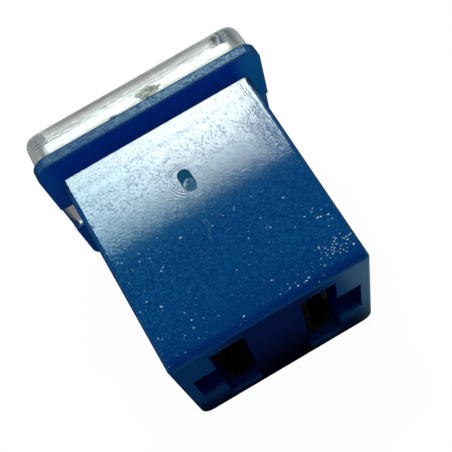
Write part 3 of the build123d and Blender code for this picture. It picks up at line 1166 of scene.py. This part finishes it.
grain = grains(tree, here, FINE_GRAIN)
coarse = grains(tree, here, COARSE_GRAIN)
broad = grains(tree, here, BROAD_GRAIN)
grit = between(tree, grain, 0.44, 0.70)
big_pits = specks(tree, here, 0.55, 0.08, 0.10)
small_pits = specks(tree, here, 0.24, 0.055, 0.22)
all_pits = math(tree, "MAXIMUM", big_pits, product(tree, small_pits, 0.5))
pits = product(tree, all_pits, on_face, between(tree, y, -1.5, 1.0))
print("pits and grain", len(tree.nodes), "nodes so far")

# %% [markdown]
# The flange's front edge is where fingers and neighbouring fuses rub. The rub is a pale strip along the
# middle of the edge, weaker on the left, broken up by fine frost and by streaks that lie along the edge. The
# strip is partly a painted highlight: it covers just the flat front and is weaker on the left, as the lamp's
# image is.

# %% Blue plastic, rubbed flange
FLANGE_STREAK = (0.5, 0.09, 0.5)
FROST = 0.13

flange_streaks = streaks(tree, here, *FLANGE_STREAK)
frost = grains(tree, here, FROST)
low_edge, high_edge = FLANGE_UNDER_Y, FLANGE_TOP_Y
strip = product(
    tree,
    band(tree, x, -6.95, -6.70, 6.92, 7.02),
    band(tree, y, low_edge + 0.10, low_edge + 0.24, high_edge - 0.14, high_edge - 0.04),
)
# Partly painted highlight: the pale strip covers the flat front and is weaker on the left.
rub_and_highlight = between(tree, total(tree, flange_streaks, frost), 0.90, 1.06, 0.02, 1.0)
rub_and_highlight = product(tree, rub_and_highlight, strip, between(tree, x, -4.5, 1.0, 0.35, 1.0))
print("rub over the flange from", round(low_edge + 0.10, 2), "to", round(high_edge - 0.04, 2))

# %% [markdown]
# Long scratches run along the face's right edge. They are streaks drawn out over 3 mm. Round the
# gate the plastic froze in rings as it stopped flowing: a sine of the distance from the gate.

# %% Blue plastic, scratches and rings
RING_STEP = 0.19

scratch_lines = streaks(tree, here, 0.07, 3.0, 1.0)
from_edge = math(tree, "SUBTRACT", x, between(tree, y, 2.4, 3.8))
scratched = product(
    tree,
    between(tree, scratch_lines, 0.47, 0.60),
    between(tree, from_edge, 3.9, 5.5),
    between(tree, y, -1.0, 0.8),
    on_face,
)
in_plane = vector(tree, "MULTIPLY", vector(tree, "SUBTRACT", here, (0, GATE_Y, 0)), (1, 1, 0))
from_gate = length(tree, in_plane)
ring_wave = math(tree, "SINE", product(tree, from_gate, 2 * np.pi / RING_STEP))
ring_zone = band(tree, from_gate, 0.75, 0.95, 1.2, 1.45)
gate_rings = product(tree, ring_wave, ring_zone, between(tree, coarse, 0.4, 0.6), on_face)
print("rings of", RING_STEP, "mm round the gate at y", round(GATE_Y, 2))

# %% [markdown]
# Where the face has been rubbed, tiny chips of the grain have broken off. They are painted pale: partly
# whitened plastic, partly painted glints where they would sparkle. They are specks whose share grows inside
# patches, so that each rub thins out towards its rim. Two weaker layers, a faint one and one of rare bigger
# chips, cover the rest of the lower half.

# %% Blue plastic, sparkling rubs
RUBS = (  # (x, height over the mouth), (half width, half height), share of specks
    ((5.1, 1.5), (1.5, 0.9), 0.95),
    ((3.6, 1.2), (1.5, 0.6), 0.22),
    ((2.2, 0.75), (1.4, 0.5), 0.45),
    ((5.0, 3.8), (0.9, 0.6), 0.40),
    ((5.6, 2.8), (0.6, 0.9), 0.30),
    ((-4.0, 1.5), (1.0, 0.8), 0.22),
    ((-5.4, 7.3), (1.0, 0.7), 0.18),
    ((-2.6, 8.5), (0.5, 0.4), 0.40),
)
RUB_STRENGTH = 1.35
FAINT_SHARE = 0.11

worn = between(tree, broad, 0.42, 0.66, 0.02, 0.09)
for (rub_x, rub_h), (half_x, half_h), share in RUBS:
    rubbed_here = patch(tree, here, (rub_x, rub_h + MOUTH_Y, FRONT_Z), (half_x, half_h, 1.0))
    worn = math(tree, "MAXIMUM", worn, product(tree, rubbed_here, RUB_STRENGTH * share))
stretched = vector(tree, "MULTIPLY", here, (0.62, 1.0, 1.0))
flecks = specks(tree, stretched, 0.12, 0.037, worn)
faint = specks(tree, stretched, 0.15, 0.038, 0.34)
chips = specks(tree, stretched, 0.62, 0.044, 0.05)
low_half = falling(tree, total(tree, y, between(tree, x, -1.0, 1.5, 0.0, 1.3)), -0.6, 0.3)
# Painted glints: the chips are painted pale where they would sparkle, partly whitened plastic too.
chips_and_glints = math(tree, "MAXIMUM", math(tree, "MAXIMUM", flecks, chips), product(tree, faint, FAINT_SHARE))
chips_and_glints = product(tree, chips_and_glints, on_face, low_half)
print(len(RUBS), "rubs")

# %% [markdown]
# Something has scraped down the middle of the face and left a short bent trail. Its middle line is
# a parabola in x over the height. A thin haze of wear covers everything but the sockets.

# %% Blue plastic, trail and haze
TRAIL_H = 6.6
TRAIL_HALF = 1.2
TRAIL_BEND = 0.50

along = math(tree, "DIVIDE", math(tree, "SUBTRACT", y, TRAIL_H + MOUTH_Y), TRAIL_HALF)
trail_x = total(tree, x, 0.30, product(tree, along, along, TRAIL_BEND))
trail = product(
    tree,
    falling(tree, math(tree, "ABSOLUTE", trail_x), 0.04, 0.20),
    band(tree, y, 5.55 + MOUTH_Y, 5.75 + MOUTH_Y, 7.3 + MOUTH_Y, 7.9 + MOUTH_Y),
    between(tree, total(tree, coarse, grain), 0.85, 1.15, 0.05, 0.85),
    on_face,
)
clouded = product(tree, between(tree, grain, 0.44, 0.66), between(tree, broad, 0.3, 0.7, 0.4, 0.9))
haze = product(tree, clouded, math(tree, "SUBTRACT", 1.0, in_socket))
print("trail at height", TRAIL_H, "over the mouth")

# %% [markdown]
# Thin parts such as the flange would look a purer blue where light comes through them. So the flange's
# underside is painted that glow, and its two ends lighter still, the right one most: painted light. The
# walls of the sockets are painted the deepest blue, and the face darker towards the mouth: painted shade.
# The coats go from the whole moulding to its parts, and one of them is a single dark speck of dirt under the
# flange.

# %% Blue plastic, colour of each region
BLUE = (0.0008, 0.052, 0.200, 1)
CLOUD_BLUE = (0.0006, 0.046, 0.185, 1)
FLANGE_GLOW_BLUE = (0.0006, 0.082, 0.76, 1)
WING_GLOW_BLUE = (0.0006, 0.30, 0.95, 1)
HAZE_BLUE = (0.006, 0.115, 0.31, 1)
LOW_SHADE_BLUE = (0.0006, 0.034, 0.160, 1)
SOCKET_SHADE_BLUE = (0.0004, 0.007, 0.13, 1)
SPECK_BLACK = (0, 0, 0.002, 1)

# Painted light: the flange's underside is painted a glowing blue, lighter at its ends and most at the right
# end.
wing = total(tree, between(tree, x, -7.0, -6.4, 0.3, 0.0), between(tree, x, 5.6, 6.9))
# Painted shade: the face is painted darker towards the mouth.
shade_near_mouth = between(tree, y, MOUTH_Y, MOUTH_Y + 3.5, 0.75, 0.0)
shade = coated(
    tree,
    BLUE,
    (between(tree, broad, 0.35, 0.65, 0.0, 0.35), CLOUD_BLUE),
    (haze, HAZE_BLUE),
    (product(tree, on_face, shade_near_mouth), LOW_SHADE_BLUE),
    (under_flange, mix_colour(tree, wing, FLANGE_GLOW_BLUE, WING_GLOW_BLUE)),
    (patch(tree, here, (4.6, FLANGE_UNDER_Y, 11.2), (0.20, 0.3, 0.16)), SPECK_BLACK),
    # Painted shade: the walls inside the sockets are painted the deepest blue.
    (in_socket, SOCKET_SHADE_BLUE),
)
print("regions coated,", len(tree.nodes), "nodes so far")

# %% [markdown]
# The end face is painted a lighter blue where its outer walls are thin, a painted glow, and nearly black
# between the sockets and down where the fuse lies on the ground, painted shade. Its rounded edge is painted
# paler, a painted highlight, and the face just above that edge darker, painted shade. Over all of that come
# the worn colours: the flange's rub with a painted highlight in it, the trail, and the chips with their
# painted glints.

# %% Blue plastic, colour of the end and of wear
MOUTH_BLUE = (0.0010, 0.030, 0.22, 1)
WALL_GLOW_BLUE = (0.0008, 0.110, 0.43, 1)
SHADE_BLACK = (0.0001, 0.0006, 0.012, 1)
# Painted highlight: the rounded edge of the end is painted paler.
EDGE_HIGHLIGHT_BLUE = (0.0008, 0.060, 0.24, 1)
RUB_AND_HIGHLIGHT_BLUE = (0.21, 0.38, 0.52, 1)
# Painted shade: a darker band on the face just above the rounded lower edge.
BEND_SHADE_BLUE = (0.0004, 0.016, 0.135, 1)
TRAIL_BLUE = (0.040, 0.125, 0.23, 1)
CHIP_GLINT_WHITE = (0.42, 0.74, 0.80, 1)

# Painted light: the end face is lighter where its outer walls are thin.
glow_at_thin_wall = between(tree, sideways, 1.9, 4.2)
# Painted shade: nearly black between the sockets and towards the ground.
shaded_web = product(tree, between(tree, z, 1.0, FRONT_Z - 1.5, 0.95, 0.0), falling(tree, sideways, 1.9, 4.2))
shaded_back = between(tree, z, 1.2, 4.2, 0.8, 0.0)
shade = coated(
    tree,
    shade,
    (on_mouth, mix_colour(tree, glow_at_thin_wall, MOUTH_BLUE, WALL_GLOW_BLUE)),
    (product(tree, on_mouth, math(tree, "MAXIMUM", shaded_web, shaded_back)), SHADE_BLACK),
    (product(tree, on_edge, 0.7), EDGE_HIGHLIGHT_BLUE),
    (product(tree, on_flange, rub_and_highlight, 0.9), RUB_AND_HIGHLIGHT_BLUE),
    (product(tree, on_face, between(tree, y, MOUTH_Y + 0.35, MOUTH_Y + 0.75, 0.75, 0.0)), BEND_SHADE_BLUE),
    (trail, TRAIL_BLUE),
    (chips_and_glints, CHIP_GLINT_WHITE),
)
print("wear coated,", len(tree.nodes), "nodes so far")

# %% [markdown]
# How wide a highlight spreads is the shader's roughness. The face is the glossiest part and the
# flange the dullest. Grit and pits make the lamp's image uneven, more so where the lamp is bright.

# %% Blue plastic, gloss
PLAIN_GLOSS = 0.22
FACE_GLOSS = -0.155

flange_gloss = product(tree, on_flange, between(tree, strip, 0.0, 1.0, 0.62, 0.46))
lit_half = product(tree, between(tree, y, -1.0, 1.3), between(tree, y, 1.5, 3.0, 0.26, 0.23))
gloss = total(
    tree,
    PLAIN_GLOSS,
    product(tree, on_face, FACE_GLOSS),
    flange_gloss,
    product(tree, grit, on_face, total(tree, 0.01, lit_half)),
    product(tree, pits, between(tree, y, 1.5, 3.0, 0.35, 0.28)),
)
print("roughness of the face", round(PLAIN_GLOSS + FACE_GLOSS, 3))

# %% [markdown]
# The same masks give the relief: grain, scratches cut in, rings, streaks and frost on the flange.
# A Bump node turns their sum into a tilt of the surface. Real displacement would need millions of
# faces for marks a hundredth of a millimetre deep.

# %% Blue plastic, relief and shader
RELIEF_MM = 0.01
UPPER_GRAIN = 1.1
SCRATCH_DEPTH = 0.6
RING_RELIEF = 0.11
STREAK_RELIEF = 1.2
FROST_RELIEF = 2.0
SPARK_RELIEF = 0.35

relief = product(tree, between(tree, y, -2.0, -0.6, 0.03, 0.30), between(tree, y, 1.8, 3.2, 1.0, 0.35))
height = total(
    tree,
    product(tree, grain, on_face, relief),
    product(tree, grain, on_face, between(tree, y, 3.6, 4.6), UPPER_GRAIN),
    product(tree, scratched, -SCRATCH_DEPTH),
    product(tree, gate_rings, RING_RELIEF),
    product(tree, flange_streaks, on_flange, STREAK_RELIEF),
    product(tree, frost, on_flange, FROST_RELIEF),
    product(tree, chips_and_glints, SPARK_RELIEF),
)
tree.links.new(principled(tree, height, RELIEF_MM, Base_Color=shade, Roughness=gloss), surface)
dress(nodes["housing"], blue)

# %% [markdown]
# ## Gate scar finish
# The dish is smooth, because a mould is polished round its gate, and the stub in it is torn.
# Torn plastic is paler and mottled, since its fibres scatter light, and it is dull. One mask round the
# stub's middle switches both. The torn ends are flecked pale, and one white spot at the stub's rim is a
# painted highlight.

# %% Gate scar finish
DISH_BLUE = (0.0006, 0.080, 0.18, 1)
TORN_DARK = (0.010, 0.095, 0.190, 1)
TORN_PALE = (0.048, 0.170, 0.280, 1)
PALE_AND_GLINT_WHITE = (0.62, 0.80, 0.85, 1)
DISH_GLOSS = 0.16
TORN_DULL = 0.82
TORN_HALF_X = 0.40
TORN_HALF_Y = 0.44
FIBRE = 0.07
FIBRE_MM = 0.02

scar_blue, tree, surface = new_material("blue_plastic_torn")
here, *_ = place_mm(tree)
from_stub = vector(tree, "SUBTRACT", here, (STUB_X, STUB_Y, 0))
in_plane = vector(tree, "MULTIPLY", from_stub, (1 / TORN_HALF_X, 1 / TORN_HALF_Y, 0))
torn = falling(tree, length(tree, in_plane), 1.06, 1.14)
# Painted highlight: one white spot at the stub's rim.
glint_spot = patch(tree, here, (-0.14, GATE_Y - 0.26, FRONT_Z), (0.08, 0.06, 0.3))
fibres = grains(tree, here, FIBRE)
mottled = mix_colour(tree, between(tree, fibres, 0.35, 0.65), TORN_DARK, TORN_PALE)
pale_ends = product(tree, torn, between(tree, fibres, 0.60, 0.75), 0.16)
flecked = math(tree, "MAXIMUM", pale_ends, glint_spot)
shade = coated(tree, DISH_BLUE, (torn, mottled), (flecked, PALE_AND_GLINT_WHITE))
gloss = total(tree, DISH_GLOSS, product(tree, torn, TORN_DULL))
height = product(tree, fibres, torn)
tree.links.new(principled(tree, height, FIBRE_MM, Base_Color=shade, Roughness=gloss), surface)
dress(scar, scar_blue)

# %% [markdown]
# ## Clear plastic
# Clear polycarbonate is drawn with a Principled shader that transmits all light. Perfectly clear
# plastic looks like nothing at all: what shows the cover is what's on it. Its outer walls have
# faint drag lines along the mould, a few hair lines below the edge of the roof, and dust.

# %% Clear plastic, drag lines and dust
HAIR_LINES = ((0.72, 0.030), (0.86, 0.022), (1.04, 0.034), (1.26, 0.026))  # below the roof, width
DRAG = (4.0, 0.09, 0.09)

clear, tree, surface = new_material("clear_plastic_moulded")
here, x, y, z = place_mm(tree)
_, normal_y, normal_z = facing(tree)
sideways = math(tree, "ABSOLUTE", x)
on_shell = between(tree, y, foot_y + 0.05, foot_y + 0.15)
on_leg = math(tree, "SUBTRACT", 1.0, on_shell)
on_wall = between(tree, math(tree, "ABSOLUTE", normal_y), 0.4, 0.8, 1.0, 0.05)
drawn = streaks(tree, here, *DRAG)
dust = specks(tree, here, 0.5, 0.07, 0.16)
broken = streaks(tree, here, 2.2, 0.15, 0.3)
waver = product(tree, math(tree, "SUBTRACT", drawn, 0.5), 0.10)
hairs = 0.0
for drop, thickness in HAIR_LINES:
    off = math(tree, "ABSOLUTE", total(tree, y, drop - roof_y, waver))
    hairs = math(tree, "MAXIMUM", hairs, falling(tree, off, thickness / 2, thickness * 1.5))
hairs = product(tree, hairs, on_wall, between(tree, broken, 0.40, 0.58, 0.25, 1.0))
print(len(HAIR_LINES), "hair lines under the roof at", round(roof_y, 2))

# %% [markdown]
# Along the foot is a thin, uneven line of flash, plastic that was squeezed out of the mould. A band below
# the roof's edge is tinted grey. The two ends are frosted at their corners, and their outer edges are
# painted grey, more on the left, as painted shade: without that they would show hard dark bands of whatever
# they bend into view.

# %% Clear plastic, flash, grey edge and shaded corners
flash_line = streaks(tree, here, 0.7, 0.6, 0.6)
flash_top = total(tree, foot_y + 0.04, product(tree, flash_line, 0.62))
flash = product(tree, falling(tree, math(tree, "SUBTRACT", y, flash_top), -0.12, 0.06), on_shell)
edge = product(
    tree,
    on_wall,
    between(tree, y, roof_y - 1.0, roof_y - 0.62),
    between(tree, drawn, 0.3, 0.6, 1.0, 0.7),
    falling(tree, sideways, 5.6, 6.6),
)
to_sides = between(tree, math(tree, "ABSOLUTE", normal_z), 0.3, 0.7)
corner = product(tree, on_shell, between(tree, sideways, 6.0, 6.4), to_sides)
# Painted shade: the outer edges of the two ends are painted grey, more on the left.
shaded_ends = product(
    tree,
    on_shell,
    between(tree, sideways, 6.75, 6.95),
    between(tree, y, foot_y + 0.1, foot_y + 0.5),
    between(tree, x, -1.0, 1.0, 0.8, 0.4),
)
print("flash from y", round(foot_y + 0.04, 2), "upwards")

# %% [markdown]
# The legs look tinted and a little milky. Towards the top, where they stand in the dark slots of the flange,
# they are painted darker, a painted shade. Their feet end against the blue bars, and from below the blue
# shines through them as a patch with a slanted edge. That patch is painted on, because tracing it through a
# barb needs very many rays.

# %% Clear plastic, legs and colour
CLEAR = (0.93, 0.97, 0.95, 1)
EDGE_GREY = (0.07, 0.07, 0.06, 1)
HAIR_GREY = (0.12, 0.13, 0.11, 1)
FLASH_GREY = (0.42, 0.47, 0.34, 1)
LEG_PALE = (0.86, 0.74, 0.68, 1)
LEG_SLOT_SHADE = (0.50, 0.46, 0.48, 1)
FOOT_BLUE = (0.002, 0.09, 0.30, 1)
CORNER_SHADE_GREY = (0.22, 0.24, 0.24, 1)

slant = product(tree, math(tree, "SUBTRACT", z, 6.5), 0.22)
left_foot = falling(tree, total(tree, x, 7.55, slant), -0.03, 0.05)
right_foot = between(tree, x, 6.0, 6.1)
to_foot = falling(tree, normal_y, -0.8, -0.5)
blue_seen = product(tree, math(tree, "MAXIMUM", left_foot, right_foot), on_leg, to_foot)
# Painted shade: the legs are darker towards the top, inside the flange's dark slots.
shaded_up_leg = between(tree, y, MOUTH_Y + 10.8, MOUTH_Y + 12.2)
shade = coated(
    tree,
    CLEAR,
    (product(tree, edge, 0.9), EDGE_GREY),
    (product(tree, hairs, 0.85), HAIR_GREY),
    (product(tree, flash, 0.85), FLASH_GREY),
    (on_leg, mix_colour(tree, shaded_up_leg, LEG_PALE, LEG_SLOT_SHADE)),
    (blue_seen, FOOT_BLUE),
    (shaded_ends, CORNER_SHADE_GREY),
)
print("clear plastic,", len(tree.nodes), "nodes so far")

# %% [markdown]
# A Principled shader that transmits casts a shadow like a solid, since a shadow ray can't be bent.
# So for shadow rays alone the cover is plainly see-through, and light reaches the flange and the
# element under it.

# %% Clear plastic, gloss and shader
PASSING = (0.92, 0.95, 0.93, 1)
CLEAR_GLOSS = 0.05
DUST_DULL = 0.3
FLASH_DULL = 0.25
EDGE_DULL = 0.12
LEG_DULL = 0.3
CORNER_DULL = 0.28
CLEAR_IOR = 1.5
DRAG_MM = 0.006
DUST_RELIEF = 0.5

gloss = total(
    tree,
    CLEAR_GLOSS,
    product(tree, dust, DUST_DULL),
    product(tree, flash, FLASH_DULL),
    product(tree, edge, EDGE_DULL),
    product(tree, on_leg, LEG_DULL),
    product(tree, corner, CORNER_DULL),
)
dust_height = product(tree, dust, on_shell, DUST_RELIEF)
height = total(tree, product(tree, drawn, on_shell, on_wall), dust_height)
clear_links = {"Base_Color": shade, "Roughness": gloss, "IOR": CLEAR_IOR, "Transmission_Weight": 1.0}
solid = principled(tree, height, DRAG_MM, **clear_links)
passing = add_node(tree, "ShaderNodeBsdfTransparent", {"Color": PASSING}).outputs[0]
is_shadow = add_node(tree, "ShaderNodeLightPath").outputs["Is Shadow Ray"]
shader = add_node(tree, "ShaderNodeMixShader", {0: is_shadow, 1: solid, 2: passing})
tree.links.new(shader.outputs[0], surface)
dress(cover, clear)

# %% [markdown]
# ## Residue finish
# Old sealant is a grey, clotted film. Where it is thin the cover shows through it, so its Alpha
# follows the same clots as its colour and its bumps.

# %% Residue finish
CLOT_DARK = (0.16, 0.18, 0.13, 1)
CLOT_PALE = (0.52, 0.55, 0.47, 1)
CLOT = 0.28
CLOT_MM = 0.04
CLOT_GLOSS = 0.45

film, tree, surface = new_material("residue_grey")
here, *_ = place_mm(tree)
clots = grains(tree, here, CLOT)
shade = mix_colour(tree, between(tree, clots, 0.36, 0.62), CLOT_DARK, CLOT_PALE)
hidden = between(tree, clots, 0.25, 0.6, 0.70, 0.95)
sealant = principled(tree, clots, CLOT_MM, Base_Color=shade, Roughness=CLOT_GLOSS, Alpha=hidden)
tree.links.new(sealant, surface)
dress(smears, film)

# %% [markdown]
# ## Copper alloy
# Rolled strip has fine lines along the way it was rolled, and it tarnishes in clouds from copper to brown.
# In the sockets it is painted nearly black, a painted shade, which fades out towards the clean part under
# the cover.

# %% Copper alloy
COPPER = (0.50, 0.27, 0.13, 1)
TARNISHED = (0.20, 0.10, 0.055, 1)
SOCKET_SHADE_DARK = (0.04, 0.022, 0.015, 1)
ROLLED = (0.9, 0.05, 0.9)
ROLLED_MM = 0.004
STAIN = 1.3
COPPER_GLOSS = 0.36
STAIN_DULL = 0.15
ROLLED_DULL = 0.12

copper, tree, surface = new_material("copper_alloy_tarnished")
here, _, y, _ = place_mm(tree)
rolled = streaks(tree, here, *ROLLED)
stain = between(tree, grains(tree, here, STAIN), 0.42, 0.62)
# Painted shade: nearly black deep in the sockets.
socket_shade = between(tree, y, -4.0, -1.0, 0.8, 0.0)
shade = coated(tree, COPPER, (stain, TARNISHED), (socket_shade, SOCKET_SHADE_DARK))
dulled = total(tree, product(tree, stain, STAIN_DULL), product(tree, rolled, ROLLED_DULL))
gloss = total(tree, COPPER_GLOSS, dulled)
metal = principled(tree, rolled, ROLLED_MM, Base_Color=shade, Roughness=gloss, Metallic=1.0)
tree.links.new(metal, surface)
dress(element, copper)

# %% [markdown]
# ## Tin
# Tin that has lain about goes dull in small frosty grains, some paler and glossier than others.
# One grain mask sets colour, roughness and bumps, so that the three agree.

# %% Tin
TIN_PALE = (0.62, 0.62, 0.60, 1)
TIN_DARK = (0.42, 0.42, 0.41, 1)
TIN_GRAIN = 0.18
TIN_MM = 0.012

tin, tree, surface = new_material("tin_dull")
here, *_ = place_mm(tree)
frosted = grains(tree, here, TIN_GRAIN)
shade = mix_colour(tree, between(tree, frosted, 0.4, 0.65), TIN_PALE, TIN_DARK)
gloss = between(tree, frosted, 0.3, 0.7, 0.28, 0.5)
metal = principled(tree, frosted, TIN_MM, Base_Color=shade, Roughness=gloss, Metallic=1.0)
tree.links.new(metal, surface)
dress(pellet, tin)
